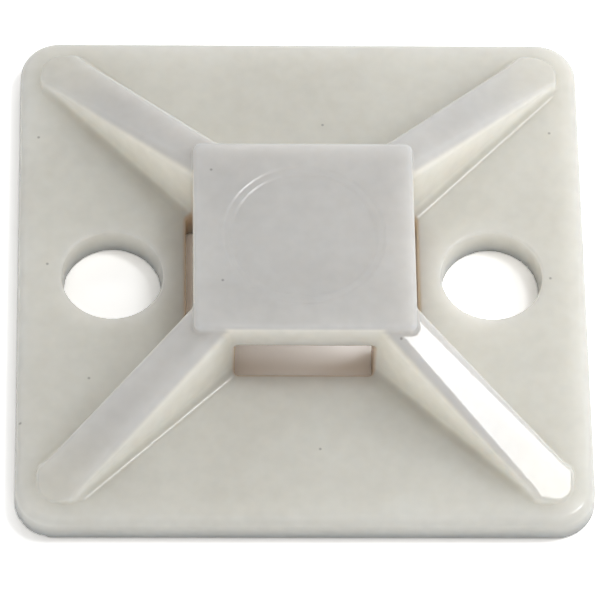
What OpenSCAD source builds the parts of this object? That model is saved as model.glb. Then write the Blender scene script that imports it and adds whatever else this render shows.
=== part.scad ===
// Four-way cable tie mount, moulded in one piece in natural nylon.
// A square base plate takes two screws. Four sloping legs carry a raised square deck,
// and a tie is threaded under the deck from any of its four sides.
// The origin is at the centre of the underside, +Z up, with the screw holes along X.

/* [Base plate] */
// Width and depth of the square base plate
base_side = 28; // [26:0.5:40]
// Thickness of the plate at its flat panels
base_t = 1.6; // [1.2:0.1:2.4]
// Radius of the plate's four corners, seen from above
corner_r = 2; // [1.6:0.1:3]
// Width of the sloping shoulder that runs round the plate
shoulder_w = 1; // [0.6:0.05:1.4]
// How far the shoulder falls from the panel to the outer side face
shoulder_drop = 0.15; // [0.1:0.05:0.5]
// Draft of the plate's outer side faces, in degrees
side_draft = 2; // [0.5:0.5:5]
// Radius where the outer side face turns into the shoulder
side_edge_r = 0.25; // [0.15:0.05:0.4]

/* [Screw holes] */
// Diameter of each screw hole
hole_d = 5; // [3:0.1:5.4]
// Distance between the centres of the two screw holes
hole_pitch = 18.65; // [18:0.05:19.2]
// Radius of the softened rim at the top of each screw hole
hole_rim_r = 0.12; // [0.05:0.01:0.3]

/* [Deck] */
// Width and depth of the raised square deck
deck_side = 10.8; // [9.6:0.1:11.4]
// Height of the deck's top above the underside of the plate
deck_top = 5.3; // [4.8:0.1:7]
// Thickness of the deck over the tie channel
deck_t = 1.65; // [1.2:0.05:2]
// Radius of the deck's four upright corners
deck_corner_r = 0.4; // [0.3:0.05:0.8]
// Radius of the soft edge round the deck's top
deck_edge_r = 0.25; // [0.1:0.05:0.28]
// Radius of the deck's lower edges, where the tie bends upwards
deck_lip_r = 0.3; // [0.1:0.05:0.5]

/* [Gate witness] */
// Outer diameter of the round witness on the deck's top
witness_d = 7.9; // [6:0.1:8.4]
// Width of the fine step inside the witness's rim
witness_step_w = 0.4; // [0.2:0.05:0.8]
// Depth of each of the witness's two steps
witness_step_t = 0.04; // [0.02:0.01:0.1]

/* [Tie channel] */
// Clear width of the tie's opening on each of the four sides
slot_w = 6.7; // [5.4:0.1:7]
// How far the channel opens the plate beyond the deck's sides, where the two mould halves meet
shut_off = 0.3; // [0.1:0.05:0.6]
// Radius on the upright edges of the posts inside the channel
post_edge_r = 0.4; // [0.1:0.05:0.8]
// Radius in the inner corners at the channel's outer ends
channel_corner_r = 0.2; // [0.1:0.05:0.25]

/* [Legs] */
// Width of each leg at its crest
leg_w = 2.3; // [1.8:0.1:2.6]
// Draft of the legs' side walls, in degrees
leg_draft = 4; // [1:0.5:6]
// Radius along both edges of a leg's crest
leg_edge_r = 0.45; // [0.2:0.05:0.6]
// Radius of the fillet between a leg's side walls and the panel
leg_foot_r = 0.45; // [0.3:0.05:0.6]
// How far a leg's crest meets the deck's corner below the deck's top
leg_drop = 0.5; // [0.45:0.05:1]
// Height of a leg's crest above the panel at the leg's outer end
leg_lip = 0.05; // [0.02:0.01:0.2]
// Distance that a leg stops short of the shoulder
leg_setback = 0.05; // [0.02:0.01:0.3]

/* [Hidden] */
$fn = 96;
nylon = [0.84, 0.83, 0.79];

// A cut runs this far past the face it opens
over = 1;
// A fillet sinks this far into the faces it blends, so that it crosses them cleanly
bite = 0.01;
// A leg's top stays this far under the deck's top where it enters the deck
leg_cover = 0.06;

// Plate
base_half = base_side / 2;
side_h = base_t - shoulder_drop;
side_lean = side_h * tan(side_draft);

// Deck
deck_half = deck_side / 2;
deck_under = deck_top - deck_t;

// Legs, measured outwards along a diagonal of the plate
diag = sqrt(2);
leg_limit_half = base_half - shoulder_w - leg_setback;
leg_limit_r = corner_r - shoulder_w - leg_setback;
crest_in = deck_half * diag - deck_corner_r * (diag - 1);
crest_out = leg_limit_half * diag - leg_limit_r * (diag - 1);
crest_in_z = deck_top - leg_drop;
crest_out_z = base_t + leg_lip;
leg_slope = atan((crest_in_z - crest_out_z) / (crest_out - crest_in));
leg_depth = deck_top;
leg_foot_w = leg_w / 2 + leg_depth * tan(leg_draft);
leg_run = crest_out - crest_in + leg_w + corner_r;
// The walls lean, so their foot lines turn a little from the diagonal
foot_turn = atan(tan(leg_draft) * sin(leg_slope));
foot_lean = asin(sin(leg_draft) * cos(leg_slope));
foot_out = leg_w / 2 + leg_lip * cos(leg_slope) * tan(leg_draft);

// Unit vector from one point of an outline to another
function towards(a, b) = (b - a) / norm(b - a);
// Angle inside an outline's corner, between its two sides
function corner_angle(a, b, c) = acos(towards(b, a) * towards(b, c));
// Twice the signed area of the corner's triangle: above zero where the outline turns left
function turn(a, b, c) = (b.x - a.x) * (c.y - b.y) - (b.y - a.y) * (c.x - b.x);
// Distance from a corner to the points where its arc begins and ends
function arc_reach(a, b, c, r) = r / tan(corner_angle(a, b, c) / 2);
// Centre of the arc that rounds a corner
function arc_centre(a, b, c, r) =
    let (middle = towards(b, a) + towards(b, c))
    b + middle / norm(middle) * r / sin(corner_angle(a, b, c) / 2);

// An outline with true arcs at its corners. Points run anticlockwise, one radius for each point.
module rounded_outline(points, radii) {
    count = len(points);
    before = [for (i = [0:count - 1]) points[(i + count - 1) % count]];
    after = [for (i = [0:count - 1]) points[(i + 1) % count]];
    cut = [for (i = [0:count - 1])
        let (b = points[i], r = radii[i], d = r > 0 ? arc_reach(before[i], b, after[i], r) : 0)
        each r > 0 ? [b + towards(b, before[i]) * d, b + towards(b, after[i]) * d] : [b]];
    difference() {
        union() {
            polygon(cut);
            for (i = [0:count - 1])
                if (radii[i] > 0 && turn(before[i], points[i], after[i]) > 0)
                    translate(arc_centre(before[i], points[i], after[i], radii[i])) circle(radii[i]);
        }
        for (i = [0:count - 1])
            if (radii[i] > 0 && turn(before[i], points[i], after[i]) < 0)
                translate(arc_centre(before[i], points[i], after[i], radii[i])) circle(radii[i]);
    }
}

// Copies its child to the four corners or the four sides
module four_times(first) {
    for (i = [0:3]) rotate([0, 0, first + 90 * i]) children();
}

// The section through one side of a block, from its side face at x = 0 inwards.
// The edge runs upwards: x is the distance from the side face, at or below zero, and y the height.
module side_section(edge, radii, inwards) {
    top = edge[len(edge) - 1].y;
    rounded_outline(concat(edge, [[-inwards, top], [-inwards, edge[0].y]]), concat(radii, [0, 0]));
}

// A square block with rounded upright corners, all of whose sides follow one edge
module square_block(side, corner, edge, radii) {
    straight = side - 2 * corner;
    four_times(0)
        rotate([90, 0, 0]) linear_extrude(height = straight, center = true)
            translate([side / 2, 0]) side_section(edge, radii, side / 2);
    four_times(0)
        translate([straight / 2, straight / 2, 0])
            rotate_extrude(angle = 90)
                intersection() {
                    translate([corner, 0]) side_section(edge, radii, corner);
                    translate([0, edge[0].y - over]) square([corner + over, edge[len(edge) - 1].y + 2 * over]);
                }
}

// A square with rounded corners, seen from above
module rounded_square(side, corner) {
    h = side / 2;
    rounded_outline([[h, -h], [h, h], [-h, h], [-h, -h]], [corner, corner, corner, corner]);
}

// The base plate: drafted side faces, a soft turn and a sloping shoulder up to the flat panels
module base_plate() {
    square_block(base_side, corner_r,
        [[0, 0], [-side_lean, side_h], [-shoulder_w, base_t]],
        [0, side_edge_r, 0]);
}

// The deck as a solid block down to the underside. The channel is cut out of it afterwards.
module deck_block() {
    square_block(deck_side, deck_corner_r,
        [[0, 0], [0, deck_top]],
        [0, deck_edge_r]);
}

// Lays a drawing across a leg that points along +X, and lifts it outwards over a length.
// The drawing's y = 0 is on the crest's line, which falls towards the leg's outer end.
module along_crest() {
    translate([crest_out, 0, crest_out_z])
        rotate([0, leg_slope, 0]) rotate([90, 0, 90])
            translate([0, 0, crest_in - crest_out - leg_w / 2 - deck_corner_r])
                linear_extrude(height = leg_run) children();
}

// One leg's ridge: leaning walls and a crest with rounded edges
module leg_ridge() {
    along_crest()
        rounded_outline(
            [[leg_w / 2, 0], [-leg_w / 2, 0], [-leg_foot_w, -leg_depth], [leg_foot_w, -leg_depth]],
            [leg_edge_r, leg_edge_r, 0, 0]);
}

// Everything under the plane of one leg's crest
module under_crest() {
    along_crest()
        translate([-leg_foot_w * 2, -leg_depth]) square([leg_foot_w * 4, leg_depth]);
}

// The fillet between one wall of a leg and the panel. It follows the wall's foot line.
module leg_foot() {
    reach = arc_reach([1, 0], [0, 0], [-sin(foot_lean), cos(foot_lean)], leg_foot_r);
    wall_top = [-reach * sin(foot_lean), reach * cos(foot_lean)];
    translate([crest_out, foot_out, base_t]) rotate([0, 0, -foot_turn])
        translate([-leg_run, 0, 0]) rotate([90, 0, 90]) linear_extrude(height = leg_run + corner_r)
            translate([-bite, -bite])
                rounded_outline(
                    [[-leg_w / 4, -base_t / 2], [reach, -base_t / 2], [reach, 0], [0, 0],
                        wall_top, [-leg_w / 4, wall_top.y]],
                    [0, 0, 0, leg_foot_r, 0, 0]);
}

// One leg, kept inside the shoulder's crease and under the deck's top
module leg() {
    intersection() {
        union() {
            leg_ridge();
            intersection() {
                union() {
                    leg_foot();
                    mirror([0, 1, 0]) leg_foot();
                }
                under_crest();
            }
        }
        rotate([0, 0, -45]) translate([0, 0, base_t / 2])
            linear_extrude(height = deck_top - leg_cover - base_t / 2)
                rounded_square(2 * leg_limit_half, leg_limit_r);
    }
}

// The tie channel: two crossing ways, open below, with a post left in each corner
module tie_channel() {
    arm = deck_half + shut_off;
    half = slot_w / 2;
    corner = channel_corner_r;
    post = post_edge_r;
    translate([0, 0, -over]) linear_extrude(height = deck_under + over)
        rounded_outline(
            [[arm, -half], [arm, half], [half, half], [half, arm], [-half, arm], [-half, half],
                [-arm, half], [-arm, -half], [-half, -half], [-half, -arm], [half, -arm], [half, -half]],
            [corner, corner, post, corner, corner, post, corner, corner, post, corner, corner, post]);
}

// What is taken off the deck's lower edge at one side, so that a tie bends round it
module deck_lip_cut() {
    translate([deck_half - deck_lip_r, 0, deck_under]) rotate([90, 0, 0])
        linear_extrude(height = slot_w, center = true)
            difference() {
                translate([0, -over]) square([deck_lip_r + over, over + deck_lip_r]);
                translate([0, deck_lip_r]) circle(deck_lip_r);
                translate([-over, 0]) square([over, over]);
            }
}

// One screw hole with a softened rim
module screw_hole() {
    translate([0, 0, -over]) cylinder(h = base_t + 2 * over, d = hole_d);
    rotate_extrude() difference() {
        translate([0, base_t - hole_rim_r]) square([hole_d / 2 + hole_rim_r, hole_rim_r + over]);
        translate([hole_d / 2 + hole_rim_r, base_t - hole_rim_r]) circle(hole_rim_r);
    }
}

// The round witness that the mould's gate insert leaves: a shallow disc with a second fine step
module gate_witness() {
    translate([0, 0, deck_top - witness_step_t])
        cylinder(h = over, d = witness_d);
    translate([0, 0, deck_top - 2 * witness_step_t])
        cylinder(h = over, d = witness_d - 2 * witness_step_w);
}

// The whole mount
module mount_body() {
    color(nylon)
        difference() {
            union() {
                base_plate();
                deck_block();
                four_times(45) leg();
            }
            tie_channel();
            four_times(0) deck_lip_cut();
            for (s = [-1, 1]) translate([s * hole_pitch / 2, 0, 0]) screw_hole();
            gate_witness();
        }
}

mount_body();
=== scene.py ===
# %% [markdown]
# # A four-way cable tie mount in milky nylon
#
# The real object is a small plastic square, 28 mm across. Two screws hold it to a wall, four
# sloping legs carry a raised deck, and a cable tie is threaded under that deck. It is moulded in
# one shot, so it has no joints and no seams: every wall runs into the next with a soft fillet.
#
# The first cell brings in the exact solid that the library keeps. Everything that follows is
# drawn around it, in metres, in the same frame.

# %% Bring in the exact solid
import math

import bpy
import numpy as np
from mathutils import Matrix, Vector


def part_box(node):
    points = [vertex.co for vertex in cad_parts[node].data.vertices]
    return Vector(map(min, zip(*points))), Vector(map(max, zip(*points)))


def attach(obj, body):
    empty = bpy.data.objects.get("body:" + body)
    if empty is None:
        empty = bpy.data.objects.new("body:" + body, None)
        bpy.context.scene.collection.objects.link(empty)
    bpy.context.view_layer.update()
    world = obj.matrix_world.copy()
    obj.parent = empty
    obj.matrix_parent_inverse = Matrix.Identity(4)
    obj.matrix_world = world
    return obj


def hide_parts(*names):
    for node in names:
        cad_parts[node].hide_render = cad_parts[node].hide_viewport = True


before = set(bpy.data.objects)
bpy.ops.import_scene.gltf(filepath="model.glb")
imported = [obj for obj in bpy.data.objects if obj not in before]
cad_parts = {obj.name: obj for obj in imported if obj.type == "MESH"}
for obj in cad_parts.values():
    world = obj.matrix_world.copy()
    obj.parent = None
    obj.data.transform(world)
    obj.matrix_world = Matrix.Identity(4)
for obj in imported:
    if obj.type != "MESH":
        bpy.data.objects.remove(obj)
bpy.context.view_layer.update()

body_low, body_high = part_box("mount_body")
print("exact solid, metres:", [round(v, 5) for v in body_low], [round(v, 5) for v in body_high])

# %% [markdown]
# ## The sizes of the mount
#
# A learner is tempted to type numbers where they are used. It is better to name them once. The
# lengths here are in millimetres because that is how such a small part is drawn. They become
# metres at the very end, when the mesh is handed to Blender.

# %% Sizes, in millimetres
MM = 0.001

PLATE_HALF = 14.0
PLATE_TOP = 1.6
PLATE_CORNER = 2.0
SHOULDER = 1.0
SHOULDER_DROP = 0.15
SIDE_DRAFT = math.radians(2.0)

DECK_HALF = 5.4
DECK_TOP = 5.3
DECK_UNDER = 3.65
DECK_CORNER = 0.4

CHANNEL_HALF = 3.35
CHANNEL_REACH = 5.7

LEG_HALF = 1.15
LEG_DRAFT = math.radians(4.0)
LEG_LIMIT_HALF = 12.95
LEG_LIMIT_CORNER = 0.95
LEG_INNER = DECK_HALF * math.sqrt(2) - DECK_CORNER * (math.sqrt(2) - 1)
LEG_OUTER = LEG_LIMIT_HALF * math.sqrt(2) - LEG_LIMIT_CORNER * (math.sqrt(2) - 1)
LEG_INNER_Z = 4.8
LEG_OUTER_Z = 1.65

HOLE_RADIUS = 2.5
HOLE_OUT = 9.325

print("leg crest runs out from", round(LEG_INNER, 2), "to", round(LEG_OUTER, 2), "mm from the middle")

# %% [markdown]
# ## Shaping with distances
#
# The mount could be built from cubes, booleans and bevel modifiers. Bevels are awkward where a
# sloping leg, a flat panel and an upright deck meet in one corner, and that is where the eye
# looks first. So the form is written as a *signed distance*: a function that says, for any point
# in space, how far away the plastic's skin is, with a minus sign inside the plastic.
#
# Two distances are joined by taking the smaller one, and one is cut by another by taking the
# larger one. If the corner between them is replaced by a small arc, the result is a fillet or a
# rounded edge of exactly that radius, just as the mould maker's cutter leaves it.

# %% Ways to join distances
def weld(a, b, radius):
    """Both forms together, with a fillet in the valley between them."""
    round_part = np.hypot(np.maximum(radius - a, 0), np.maximum(radius - b, 0))
    return np.maximum(radius, np.minimum(a, b)) - round_part


def keep(a, b, radius):
    """Only what the two forms share, with a rounded edge where they meet."""
    return -weld(-a, -b, radius)


def carve(a, b, radius):
    """The first form without the second."""
    return keep(a, -b, radius)


def soft_crease(a, b, blend):
    """Like keep, for two planes that meet at nearly a flat angle."""
    gap = np.maximum(blend - np.abs(a - b), 0) / blend
    return np.maximum(a, b) + gap * gap * blend / 4


def rounded_square(x, y, half_x, half_y, corner):
    """Distance to an upright column whose plan is a rectangle with rounded corners."""
    qx = np.abs(x) - half_x + corner
    qy = np.abs(y) - half_y + corner
    outside = np.hypot(np.maximum(qx, 0), np.maximum(qy, 0))
    return outside + np.minimum(np.maximum(qx, qy), 0) - corner


print("a fillet of 1 mm between two planes 0.2 mm away:",
      round(float(weld(np.array(0.2), np.array(0.2), 1.0)), 3))

# %% [markdown]
# ## The base plate
#
# The plate is a thin slab. Its sides lean in by two degrees so that it leaves the mould, its
# upper edge is rounded, and a shallow sloping shoulder runs all round it up to the flat panels.

# %% Base plate
SIDE_LEAN = 0.05
SHOULDER_SLOPE = SHOULDER_DROP / (SHOULDER - SIDE_LEAN)
SHOULDER_SOFT = 0.03
SIDE_EDGE = 0.4
FOOT_EDGE = 0.1


def plate(x, y, z):
    outline = rounded_square(x, y, PLATE_HALF, PLATE_HALF, PLATE_CORNER)
    side = (outline + z * math.tan(SIDE_DRAFT)) * math.cos(SIDE_DRAFT)
    fall = (outline + SHOULDER) * SHOULDER_SLOPE
    shoulder = (z - PLATE_TOP + fall) * math.cos(math.atan(SHOULDER_SLOPE))
    top = soft_crease(shoulder, z - PLATE_TOP, SHOULDER_SOFT)
    return keep(keep(side, top, SIDE_EDGE), -z, FOOT_EDGE)


print("the shoulder slopes", round(math.degrees(math.atan(SHOULDER_SLOPE)), 1), "degrees")


# %% [markdown]
# ## The deck and the gate's mark
#
# The deck is the raised square in the middle. On its top, the mould's gate insert leaves a round
# mark: a disc that lies a few hundredths of a millimetre lower, with a second fine step inside
# its rim. It is small, but glossy plastic shows such a step as a thin bright line.

# %% Deck
DECK_EDGE = 0.25
MARK_RADIUS = 3.95
MARK_STEP = 0.4
MARK_DEPTH = 0.036
MARK_SOFT = 0.16


def step_down(distance):
    """Goes smoothly from 0 to 1 over the width of a worn step."""
    t = np.clip(distance / MARK_SOFT + 0.5, 0, 1)
    return t * t * (3 - 2 * t)


def deck(x, y, z):
    walls = rounded_square(x, y, DECK_HALF, DECK_HALF, DECK_CORNER)
    out = np.hypot(x, y)
    sunk = MARK_DEPTH * (step_down(MARK_RADIUS - out) + step_down(MARK_RADIUS - MARK_STEP - out))
    return keep(walls, z - DECK_TOP + sunk, DECK_EDGE)


print("the gate's mark is", 2 * MARK_RADIUS, "mm across on a deck of", 2 * DECK_HALF, "mm")


# %% [markdown]
# ## The four legs
#
# Each leg is a ridge on a diagonal. It starts half a millimetre under the deck's top, at the
# deck's corner, and slopes down until it dies away at the shoulder. Its walls lean a little, its
# crest's edges are well rounded near the deck and tighter further out, and a fillet runs along
# its foot. Folding the plan about both diagonals lets one leg's formula serve all four.

# %% Legs
LEG_EDGE_INNER = 0.6
LEG_EDGE_OUTER = 0.15
LEG_COVER = 5.14
LEG_END = 0.2
LEG_FOOT = 0.45
CREST_TILT = math.atan((LEG_INNER_Z - LEG_OUTER_Z) / (LEG_OUTER - LEG_INNER))


def leg(x, y, z):
    along = (np.abs(x) + np.abs(y)) / math.sqrt(2)
    across = np.abs(np.abs(x) - np.abs(y)) / math.sqrt(2)
    crest = LEG_OUTER_Z + (LEG_OUTER - along) * math.tan(CREST_TILT)
    above = np.maximum((z - crest) * math.cos(CREST_TILT), z - LEG_COVER)
    wall = (across - LEG_HALF + above * math.tan(LEG_DRAFT)) * math.cos(LEG_DRAFT)
    share = np.clip((along - LEG_INNER) / (LEG_OUTER - LEG_INNER), 0, 1)
    edge = LEG_EDGE_INNER + (LEG_EDGE_OUTER - LEG_EDGE_INNER) * share
    ridge = keep(wall, above, edge)
    footed = np.maximum(weld(ridge, z - PLATE_TOP, LEG_FOOT), above)
    limit = rounded_square(x, y, LEG_LIMIT_HALF, LEG_LIMIT_HALF, LEG_LIMIT_CORNER)
    return keep(footed, limit, LEG_END)


print("the crest slopes", round(math.degrees(CREST_TILT), 1), "degrees")

# %% [markdown]
# ## The openings
#
# Two crossing ways for the tie meet under the deck, open below, and leave a post in each corner.
# They reach a little beyond the deck's sides, where the two mould halves touch. The two screw
# holes have a softened rim and narrow slightly downwards, so that their pins leave the mould.

# %% Openings
WAY_CORNER = 0.2
POST_EDGE = 0.4
ROOF_EDGE = 0.15
HOLE_TAPER = 0.13


def tie_ways(x, y, z):
    one = rounded_square(x, y, CHANNEL_REACH, CHANNEL_HALF, WAY_CORNER)
    other = rounded_square(x, y, CHANNEL_HALF, CHANNEL_REACH, WAY_CORNER)
    return keep(weld(one, other, POST_EDGE), z - DECK_UNDER, ROOF_EDGE)


def screw_holes(x, y, z):
    radius = HOLE_RADIUS - HOLE_TAPER * (1 - z / PLATE_TOP)
    return np.hypot(np.abs(x) - HOLE_OUT, y) - radius


print("the tie passes", round(DECK_UNDER - PLATE_TOP, 2), "mm of clear height above the plate")


# %% [markdown]
# ## The whole skin
#
# The parts are welded with small fillets, and the openings are carved out last. The skin is where
# this distance is zero, so a point on the deck's flat top should measure zero.

# %% Whole skin
BODY_WELD = 0.12
MOUTH_EDGE = 0.15
HOLE_RIM = 0.12


def skin(points):
    x, y, z = points[:, 0], points[:, 1], points[:, 2]
    whole = weld(deck(x, y, z), np.minimum(leg(x, y, z), plate(x, y, z)), BODY_WELD)
    whole = keep(whole, -z, FOOT_EDGE)
    whole = carve(whole, tie_ways(x, y, z), MOUTH_EDGE)
    return carve(whole, screw_holes(x, y, z), HOLE_RIM)


def slope_of_skin(points, reach=0.004):
    """The direction in which the distance grows fastest, which is the skin's normal."""
    slope = np.empty_like(points)
    for axis in range(3):
        shift = np.zeros(3)
        shift[axis] = reach
        slope[:, axis] = (skin(points + shift) - skin(points - shift)) / (2 * reach)
    return slope


on_top = np.array([[4.6, 0.0, DECK_TOP]])
print("distance on the deck's top, mm:", round(float(skin(on_top)[0]), 4))


# %% [markdown]
# ## From distances to a mesh
#
# A fine grid of points is laid over the mount. In each small cell that the skin passes through,
# one vertex is placed, and neighbouring cells are joined by four-sided faces. This is called
# *surface nets*. The vertices are then slid along the slope of the distance until they lie on
# the skin itself, so the mesh is far more exact than the grid.

# %% Surface nets
def grid_points(low, high, step):
    axes = [np.arange(low[i], high[i] + step, step) for i in range(3)]
    return axes, [len(a) for a in axes]


def sample_skin(axes, counts):
    values = np.empty(counts)
    for i, x in enumerate(axes[0]):
        yy, zz = np.meshgrid(axes[1], axes[2], indexing="ij")
        points = np.column_stack([np.full(yy.size, x), yy.ravel(), zz.ravel()])
        values[i] = skin(points).reshape(counts[1], counts[2])
    return values


def surface_nets(axes, values):
    inside = values < 0
    cells = tuple(n - 1 for n in values.shape)
    total = np.zeros(cells + (3,))
    hits = np.zeros(cells)
    corners = [(i, j, k) for i in (0, 1) for j in (0, 1) for k in (0, 1)]

    def part(grid, corner):
        return grid[tuple(slice(c, c + n) for c, n in zip(corner, cells))]

    for a in corners:
        for axis in range(3):
            if a[axis] == 1:
                continue
            b = tuple(c + (1 if n == axis else 0) for n, c in enumerate(a))
            va, vb = part(values, a), part(values, b)
            crossed = part(inside, a) != part(inside, b)
            share = np.where(crossed, va / np.where(crossed, va - vb, 1), 0)
            for n in range(3):
                place = a[n] + (share if n == axis else 0)
                total[..., n] += np.where(crossed, place, 0)
            hits += crossed
    used = hits > 0
    index = np.full(cells, -1)
    index[used] = np.arange(used.sum())
    start = np.array([a[0] for a in axes])
    step = axes[0][1] - axes[0][0]
    where = np.argwhere(used)
    verts = start + step * (where + total[used] / hits[used][:, None])

    faces = []
    for axis in range(3):
        u, v = (axis + 1) % 3, (axis + 2) % 3
        low = [slice(1, n - 1) for n in values.shape]
        high = list(low)
        low[axis] = slice(0, values.shape[axis] - 1)
        high[axis] = slice(1, values.shape[axis])
        first, second = inside[tuple(low)], inside[tuple(high)]
        for flip, chosen in ((False, first & ~second), (True, ~first & second)):
            at = np.argwhere(chosen)
            at[:, u] += 1
            at[:, v] += 1
            ring = []
            for du, dv in ((-1, -1), (0, -1), (0, 0), (-1, 0)):
                cell = at.copy()
                cell[:, u] += du
                cell[:, v] += dv
                ring.append(index[cell[:, 0], cell[:, 1], cell[:, 2]])
            if flip:
                ring.reverse()
            faces.append(np.column_stack(ring))
    return verts, np.concatenate(faces)


GRID_STEP = 0.27
# An odd share of a step keeps the grid's planes off the mount's own flat faces
margin = np.array([0.371, 0.353, 0.337]) * 2 * GRID_STEP
lowest = np.array([-PLATE_HALF, -PLATE_HALF, 0.0])
highest = np.array([PLATE_HALF, PLATE_HALF, DECK_TOP])
axes, counts = grid_points(lowest - margin, highest + margin, GRID_STEP)
verts, quads = surface_nets(axes, sample_skin(axes, counts))
print("grid", counts, "gives", len(verts), "vertices and", len(quads), "faces")

# %% [markdown]
# ## Settling the mesh on the skin
#
# Each pass first evens out the net, by moving every vertex a little towards the middle of its
# neighbours, and then slides it back onto the skin.

# %% Settle the vertices
def settle(points):
    distance = skin(points)
    slope = slope_of_skin(points)
    size = np.maximum((slope * slope).sum(1), 0.25)
    return points - slope * (distance / size)[:, None]


def neighbour_middles(points, faces):
    total = np.zeros_like(points)
    hits = np.zeros(len(points))
    for n in range(4):
        a, b = faces[:, n], faces[:, (n + 1) % 4]
        for p, q in ((a, b), (b, a)):
            np.add.at(total, p, points[q])
            np.add.at(hits, p, 1)
    return total / hits[:, None]


def even_out(points, faces, turns):
    for turn in range(turns):
        slope = slope_of_skin(points)
        slope /= np.maximum(np.linalg.norm(slope, axis=1), 1e-9)[:, None]
        pull = neighbour_middles(points, faces) - points
        pull -= slope * (pull * slope).sum(1)[:, None]
        points = settle(points + 0.5 * pull)
    return settle(settle(points))


verts = even_out(verts, quads, 4)
print("after settling, mm off the skin at most:", round(float(np.abs(skin(verts)).max()), 4))

# %% [markdown]
# ## Finer faces where the skin bends
#
# A flat panel needs few faces, a rounded edge many. Wherever the normals at a face's corners
# disagree, and along the gate's mark, each face is split into nine. A neighbour that isn't split
# takes the new points into its own outline, so the mesh stays closed.

# %% Split the faces on the edges
SPLIT = 3
BEND_LIMIT = math.cos(math.radians(9.0))


def faces_to_split(points, faces):
    slope = slope_of_skin(points)
    slope /= np.maximum(np.linalg.norm(slope, axis=1), 1e-9)[:, None]
    bend = np.ones(len(faces))
    for a, b in ((0, 1), (1, 2), (2, 3), (3, 0), (0, 2), (1, 3)):
        bend = np.minimum(bend, (slope[faces[:, a]] * slope[faces[:, b]]).sum(1))
    middle = points[faces].mean(1)
    out = np.hypot(middle[:, 0], middle[:, 1])
    near_step = np.abs(out - MARK_RADIUS + MARK_STEP / 2) < MARK_STEP / 2 + 0.25
    on_mark = (middle[:, 2] > DECK_TOP - 0.2) & near_step
    return (bend < BEND_LIMIT) | on_mark


def split_faces(points, faces, chosen):
    """Splits the chosen faces and gives a list of faces, some with more than four corners."""
    points = [tuple(p) for p in points]
    between = {}

    def along(a, b):
        """The new points on the side from a to b, in that order."""
        key = (min(a, b), max(a, b))
        if key not in between:
            start, end = np.array(points[key[0]]), np.array(points[key[1]])
            row = []
            for n in range(1, SPLIT):
                points.append(tuple(start + (end - start) * n / SPLIT))
                row.append(len(points) - 1)
            between[key] = row
        return between[key] if a == key[0] else between[key][::-1]

    made = []
    for a, b, c, d in faces[chosen].tolist():
        grid = [[a] + along(a, b) + [b]]
        left, right = along(a, d), along(b, c)
        for n in range(SPLIT - 1):
            start, end = np.array(points[left[n]]), np.array(points[right[n]])
            row = [left[n]]
            for m in range(1, SPLIT):
                points.append(tuple(start + (end - start) * m / SPLIT))
                row.append(len(points) - 1)
            grid.append(row + [right[n]])
        grid.append([d] + along(d, c) + [c])
        for n in range(SPLIT):
            for m in range(SPLIT):
                made.append((grid[n][m], grid[n][m + 1], grid[n + 1][m + 1], grid[n + 1][m]))
    for face in faces[~chosen].tolist():
        outline = []
        for n in range(4):
            a, b = face[n], face[(n + 1) % 4]
            outline.append(a)
            outline += between.get((a, b), between.get((b, a), [])[::-1])
        made.append(tuple(outline))
    return np.array(points), made


chosen = faces_to_split(verts, quads)
verts, faces = split_faces(verts, quads, chosen)
for turn in range(3):
    verts = settle(verts)
verts[:, 2] = np.maximum(verts[:, 2], 0)
off = np.abs(skin(verts))
triangles = sum(len(f) - 2 for f in faces)
print("split", int(chosen.sum()), "faces;", len(verts), "vertices,", triangles, "triangles")
print("vertices off the skin, mm: mean", round(float(off.mean()), 6), "most", round(float(off.max()), 4))

# %% [markdown]
# ## Handing the mesh to Blender
#
# The vertices become metres, and the normals come straight from the distance's slope, so the
# light slides over the fillets without showing the faces.

# %% Mount body
mesh = bpy.data.meshes.new("nylon_mount")
mesh.from_pydata((verts * MM).tolist(), [], faces)
mesh.update()
mesh.polygons.foreach_set("use_smooth", np.ones(len(faces), dtype=bool))
normals = slope_of_skin(verts)
normals /= np.maximum(np.linalg.norm(normals, axis=1), 1e-9)[:, None]
mesh.normals_split_custom_set_from_vertices(normals.tolist())
mount = bpy.data.objects.new("nylon_mount", mesh)
bpy.context.collection.objects.link(mount)
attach(mount, "root")
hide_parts("mount_body")
print("mesh checked, changed by Blender:", mesh.validate())

# %% [markdown]
# ## Where the nylon's colour varies, with painted shade and glow
#
# Natural nylon is neither white nor clear. The deck and the crests get a cooler grey. It is partly
# the thicker nylon's own tone and partly painted shade, since it lies fully on faces that look up
# and only partly on their sides. A thin panel is creamier. The steep walls of the legs are painted
# lighter, a painted glow for light that passes through the nylon and comes out there. Inside the
# tie's way a warm tan is painted shade, for the shaded hollow under the deck. The mesh carries one
# number per vertex for each of these, and the material reads them by name.

# %% Shares of each tone
def ramp(value, start, end):
    t = np.clip((value - start) / (end - start), 0, 1)
    return t * t * (3 - 2 * t)


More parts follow.
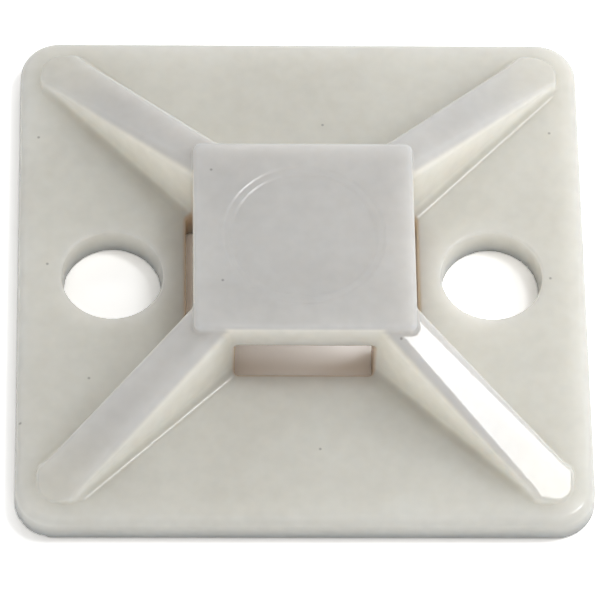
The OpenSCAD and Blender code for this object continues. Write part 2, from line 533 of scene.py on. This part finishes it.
def tone_shares(points, normals):
    x, y, z = points[:, 0], points[:, 1], points[:, 2]
    along = (np.abs(x) + np.abs(y)) / math.sqrt(2)
    across = np.abs(np.abs(x) - np.abs(y)) / math.sqrt(2)
    crest = LEG_OUTER_Z + (LEG_OUTER - along) * math.tan(CREST_TILT)
    near_crest = ramp(z - crest, -0.5, -0.1) * ramp(across, LEG_HALF + 0.3, LEG_HALF - 0.2)
    near_crest *= ramp(along, LEG_OUTER + 0.6, LEG_OUTER - 6)
    walls = rounded_square(x, y, DECK_HALF, DECK_HALF, DECK_CORNER)
    on_deck = ramp(walls, 0.5, 0.0) * ramp(z, DECK_UNDER - 1.2, DECK_UNDER + 0.4)
    # Painted shade: the grey lies fully on faces that look up and less on the deck's sides
    on_deck *= 0.3 + 0.7 * ramp(normals[:, 2], 0.2, 0.8)
    raised = np.maximum(near_crest, on_deck)
    # Painted glow: steep walls above the plate get the lighter tone
    painted_glow = ramp(normals[:, 2], 0.9, 0.4) * ramp(z, PLATE_TOP - 0.1, PLATE_TOP + 0.3)
    # Painted shade: the warm tan inside the tie's way
    inside = ramp(tie_ways(x, y, z), 0.2, 0.02)
    return {"raised": raised, "painted_glow": painted_glow * (1 - raised), "inside": inside}


for name, share in tone_shares(verts, normals).items():
    layer = mesh.attributes.new(name, "FLOAT", "POINT")
    layer.data.foreach_set("value", share.astype(np.float32))
    print("tone", name, "covers", round(float(share.mean()), 3), "of the vertices")

# %% [markdown]
# ## Milky nylon
#
# Light enters the nylon, scatters and comes out a few millimetres away, so shadows are soft and
# warm. The Principled shader's subsurface scattering does just that. Its colour is mixed from
# the four tones: the panel's is the ground, and each of the others is laid over it by its share.
# Its gloss is that of a part ejected from polished steel.

# %% Nylon
nylon = bpy.data.materials.new("milky_nylon")
nylon.use_nodes = True
nodes, links = nylon.node_tree.nodes, nylon.node_tree.links
shader = nodes["Principled BSDF"]
shader.inputs["Roughness"].default_value = 0.2
shader.inputs["IOR"].default_value = 1.5
shader.inputs["Subsurface Weight"].default_value = 1.0
shader.inputs["Subsurface Radius"].default_value = (1.0, 0.9, 0.8)
shader.inputs["Subsurface Scale"].default_value = 0.004

PANEL_TONE = (0.725, 0.70, 0.63, 1)
# Cool grey of the thick nylon, partly painted shade on faces that look up
GREY_AND_SHADE_TONE = (0.575, 0.572, 0.56, 1)
# Painted glow: the leg walls drawn lighter, for light coming out through the nylon
PAINTED_GLOW_TONE = (0.87, 0.84, 0.76, 1)
# Painted shade: warm tan inside the tie's way, for the shaded hollow under the deck
PAINTED_TUNNEL_SHADE_TONE = (0.70, 0.56, 0.42, 1)


def share_of(name):
    """The number that each vertex carries under this name."""
    share = nodes.new("ShaderNodeAttribute")
    share.attribute_name = name
    return share.outputs["Fac"]


def mix_tone(below, tone, share_name):
    mix = nodes.new("ShaderNodeMix")
    mix.data_type = "RGBA"
    if isinstance(below, tuple):
        mix.inputs["A"].default_value = below
    else:
        links.new(below, mix.inputs["A"])
    mix.inputs["B"].default_value = tone
    links.new(share_of(share_name), mix.inputs["Factor"])
    return mix.outputs["Result"]


# Cool grey with painted shade on the deck's and crests' up-facing faces
colour = mix_tone(PANEL_TONE, GREY_AND_SHADE_TONE, "raised")
# Painted glow on the steep walls of the legs
colour = mix_tone(colour, PAINTED_GLOW_TONE, "painted_glow")
# Painted shade inside the tie's way
colour = mix_tone(colour, PAINTED_TUNNEL_SHADE_TONE, "inside")
print("tones mixed, nodes so far:", len(nodes))

# %% [markdown]
# ## Clouds and specks
#
# A grey that is close to one, multiplied onto the colour, clouds it without changing its hue. A
# large soft noise and a fine one are laid over each other. The specks are the very middles of
# Voronoi cells. The pattern is flat, so a speck would smear into a line down a steep wall: the
# walls' own share keeps it off them.

# %% Clouds and specks
place = nodes.new("ShaderNodeTexCoord")


def noise_at(scale, detail):
    noise = nodes.new("ShaderNodeTexNoise")
    noise.inputs["Scale"].default_value = scale
    noise.inputs["Detail"].default_value = detail
    links.new(place.outputs["Object"], noise.inputs["Vector"])
    return noise.outputs["Fac"]


def squeezed(value, low, high, dark, light):
    """Turns the range from low to high into the range from dark to light."""
    squeeze = nodes.new("ShaderNodeMapRange")
    squeeze.inputs["From Min"].default_value = low
    squeeze.inputs["From Max"].default_value = high
    squeeze.inputs["To Min"].default_value = dark
    squeeze.inputs["To Max"].default_value = light
    links.new(value, squeeze.inputs["Value"])
    return squeeze.outputs["Result"]


def shaded(colour_in, grey, where=None):
    """The colour times a grey, everywhere or only by the share given."""
    mix = nodes.new("ShaderNodeMix")
    mix.data_type = "RGBA"
    mix.blend_type = "MULTIPLY"
    mix.inputs["Factor"].default_value = 1
    if where:
        links.new(where, mix.inputs["Factor"])
    links.new(colour_in, mix.inputs["A"])
    links.new(grey, mix.inputs["B"])
    return mix.outputs["Result"]


colour = shaded(colour, squeezed(noise_at(190, 2), 0.3, 0.7, 0.955, 1.03))
colour = shaded(colour, squeezed(noise_at(1500, 1), 0.3, 0.7, 0.975, 1.02))

specks = nodes.new("ShaderNodeTexVoronoi")
specks.voronoi_dimensions = "2D"
specks.inputs["Scale"].default_value = 130
links.new(place.outputs["Object"], specks.inputs["Vector"])
# The specks stay off the walls that carry the painted glow
off_painted_glow = nodes.new("ShaderNodeMath")
off_painted_glow.operation = "SUBTRACT"
off_painted_glow.inputs[0].default_value = 1
links.new(share_of("painted_glow"), off_painted_glow.inputs[1])
speck_tone = squeezed(specks.outputs["Distance"], 0.005, 0.012, 0.6, 1.0)
colour = shaded(colour, speck_tone, off_painted_glow.outputs[0])
links.new(colour, shader.inputs["Base Color"])
print("clouds and specks laid on, nodes so far:", len(nodes))

# %% [markdown]
# ## Grain
#
# The last touch is a bump far too fine to see as a shape. It only breaks up the reflections.

# %% Grain
bump = nodes.new("ShaderNodeBump")
bump.inputs["Strength"].default_value = 0.08
bump.inputs["Distance"].default_value = 0.02 * MM
links.new(noise_at(900, 3), bump.inputs["Height"])
links.new(bump.outputs["Normal"], shader.inputs["Normal"])
mesh.materials.append(nylon)
print("nylon is ready, nodes in all:", len(nodes))

# %% [markdown]
# ## The camera
#
# The camera looks down on the mount from the front, at 58 degrees, from a quarter of a metre
# away, with a long lens that keeps the far edge nearly as wide as the near one.

# %% Camera
CAMERA_HEIGHT = math.radians(58.0)
CAMERA_SIDE = math.radians(-3.54)
CAMERA_ROLL = math.radians(3.16)
CAMERA_AWAY = 0.2753
CAMERA_LENS = 334.7
CAMERA_SHIFT = -0.0097
LOOK_AT = Vector((0.222, -0.453, 0)) * MM

back = Vector((math.sin(CAMERA_SIDE) * math.cos(CAMERA_HEIGHT),
               -math.cos(CAMERA_SIDE) * math.cos(CAMERA_HEIGHT),
               math.sin(CAMERA_HEIGHT)))
level_right = Vector((0, 0, 1)).cross(back).normalized()
level_up = back.cross(level_right)
right = math.cos(CAMERA_ROLL) * level_right + math.sin(CAMERA_ROLL) * level_up
up = back.cross(right)
camera_data = bpy.data.cameras.new("camera")
camera = bpy.data.objects.new("camera", camera_data)
bpy.context.collection.objects.link(camera)
turned = Matrix((right, up, back)).transposed().to_4x4()
camera.matrix_world = Matrix.Translation(LOOK_AT + CAMERA_AWAY * back) @ turned
camera_data.sensor_width = 36
camera_data.lens = CAMERA_LENS
camera_data.shift_x = CAMERA_SHIFT
camera_data.clip_start = 0.01
camera_data.clip_end = 10
bpy.context.scene.camera = camera
print("camera at", [round(v, 4) for v in camera.location], "lens", camera_data.lens)

# %% [markdown]
# ## The floor
#
# The floor is plain paper that keeps a soft shadow of the mount. Rays that come straight from the
# camera meet a brighter paper than the light that bounces off it does. So the ground is white
# in the picture, and yet it doesn't flood the tie's way with light from below.

# %% Floor
FLOOR_HALF = 1.5
FLOOR_DROP = 0.02 * MM
PAPER_LIT = (0.92, 0.92, 0.92, 1)
PAPER_SEEN = (1.5, 1.5, 1.5, 1)

floor_mesh = bpy.data.meshes.new("floor")
floor_corners = [(-1, -1), (1, -1), (1, 1), (-1, 1)]
floor_mesh.from_pydata([(FLOOR_HALF * x, FLOOR_HALF * y, 0) for x, y in floor_corners], [], [(0, 1, 2, 3)])
floor = bpy.data.objects.new("floor", floor_mesh)
floor.location.z = -FLOOR_DROP
bpy.context.collection.objects.link(floor)
paper = bpy.data.materials.new("white_paper")
paper.use_nodes = True
paper_nodes, paper_links = paper.node_tree.nodes, paper.node_tree.links
paper_out = paper_nodes["Material Output"]
paper_nodes.remove(paper_nodes["Principled BSDF"])
diffuse = paper_nodes.new("ShaderNodeBsdfDiffuse")
ray = paper_nodes.new("ShaderNodeLightPath")
paper_tone = paper_nodes.new("ShaderNodeMix")
paper_tone.data_type = "RGBA"
paper_tone.inputs["A"].default_value = PAPER_LIT
paper_tone.inputs["B"].default_value = PAPER_SEEN
paper_links.new(ray.outputs["Is Camera Ray"], paper_tone.inputs["Factor"])
paper_links.new(paper_tone.outputs["Result"], diffuse.inputs["Color"])
paper_links.new(diffuse.outputs[0], paper_out.inputs["Surface"])
floor_mesh.materials.append(paper)
print("floor", 2 * FLOOR_HALF, "m wide,", round(FLOOR_DROP / MM, 3), "mm under the mount")

# %% [markdown]
# ## The lamps
#
# One square softbox hangs above, to the right and a little behind. It is what the crest of one
# leg mirrors. The cards round it fill the shadows, and glossy rays don't see them, so they draw
# no bright lines along the edges. The world adds a faint even light.

# %% Lamps
def softbox(name, towards, away, size, watts):
    lamp = bpy.data.lights.new(name, "AREA")
    lamp.shape = "RECTANGLE"
    lamp.size, lamp.size_y = size
    lamp.energy = watts
    holder = bpy.data.objects.new(name, lamp)
    direction = Vector(towards).normalized()
    holder.location = direction * away
    holder.rotation_euler = direction.to_track_quat("Z", "Y").to_euler()
    bpy.context.collection.objects.link(holder)
    return holder


CARD_LEVEL = 0.9
WORLD_LEVEL = 0.2
softbox("key", (0.405, 0.157, 0.899), 0.6, (0.11, 0.11), 0.74)
for name, towards, away, size, watts in (
        ("top_card", (0.0, 0.0, 1.0), 0.6, 0.4, 0.5),
        ("back_card", (0.0, 0.88, 0.47), 0.6, 0.4, 1.1),
        ("front_card", (0.0, -0.88, 0.47), 0.6, 0.4, 1.05),
        ("left_card", (-0.955, -0.168, 0.242), 0.6, 0.25, 0.65),
        ("near_card", (0.807, 0.142, 0.574), 0.085, 0.04, 0.031)):
    card = softbox(name, towards, away, (size, size), watts * CARD_LEVEL)
    card.visible_glossy = False

world = bpy.data.worlds.new("surround")
bpy.context.scene.world = world
world.use_nodes = True
sky = world.node_tree.nodes["Background"]
sky.inputs["Color"].default_value = (1, 1, 1, 1)
sky.inputs["Strength"].default_value = WORLD_LEVEL
scene = bpy.context.scene
scene.view_settings.view_transform = "Standard"
